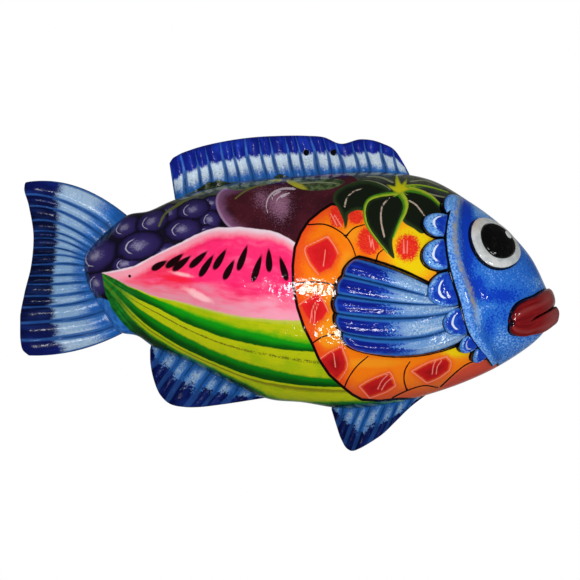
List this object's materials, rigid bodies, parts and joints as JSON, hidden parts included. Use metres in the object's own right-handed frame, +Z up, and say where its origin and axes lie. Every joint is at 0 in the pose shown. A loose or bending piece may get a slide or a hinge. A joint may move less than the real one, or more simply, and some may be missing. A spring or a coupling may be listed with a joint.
{
  "type": "fish wall plaque",
  "caption": "Hollow glazed ceramic fish in half relief, with ribbed fins, a fluted side fin, raised eye and lips, pierced to hang flat on a wall.",
  "frame": {"origin": "on the wall plane, midway between the two hanging holes in the dorsal fin", "axes": "+X from the tail to the mouth, +Y into the wall, +Z up"},
  "size_m": [0.2992, 0.0635, 0.1749],
  "materials": {
    "body_glaze": "hand painted under a high gloss lacquer, bare terracotta inside",
    "fin_glaze": "blue paint under a high gloss lacquer",
    "head_glaze": "blue paint under a high gloss lacquer",
    "eye_white": "white paint under a high gloss lacquer",
    "eye_black": "black paint under a high gloss lacquer",
    "lip_glaze": "dark red paint under a high gloss lacquer"
  },
  "bodies": {
    "root": {"body_shell": "body_glaze", "tail_fin": "fin_glaze", "dorsal_fin": "fin_glaze", "anal_fin": "fin_glaze", "pelvic_fin": "fin_glaze", "pectoral_fin": "fin_glaze", "gill_cover": "head_glaze", "gill_lobe_1": "head_glaze", "gill_lobe_2": "head_glaze", "gill_lobe_3": "head_glaze", "gill_lobe_4": "head_glaze", "gill_lobe_5": "head_glaze", "gill_lobe_6": "head_glaze", "gill_lobe_7": "head_glaze", "eye_ring": "eye_white", "eye_pupil": "eye_black", "upper_lip": "lip_glaze", "lower_lip": "lip_glaze"}
  },
  "joints": []
}
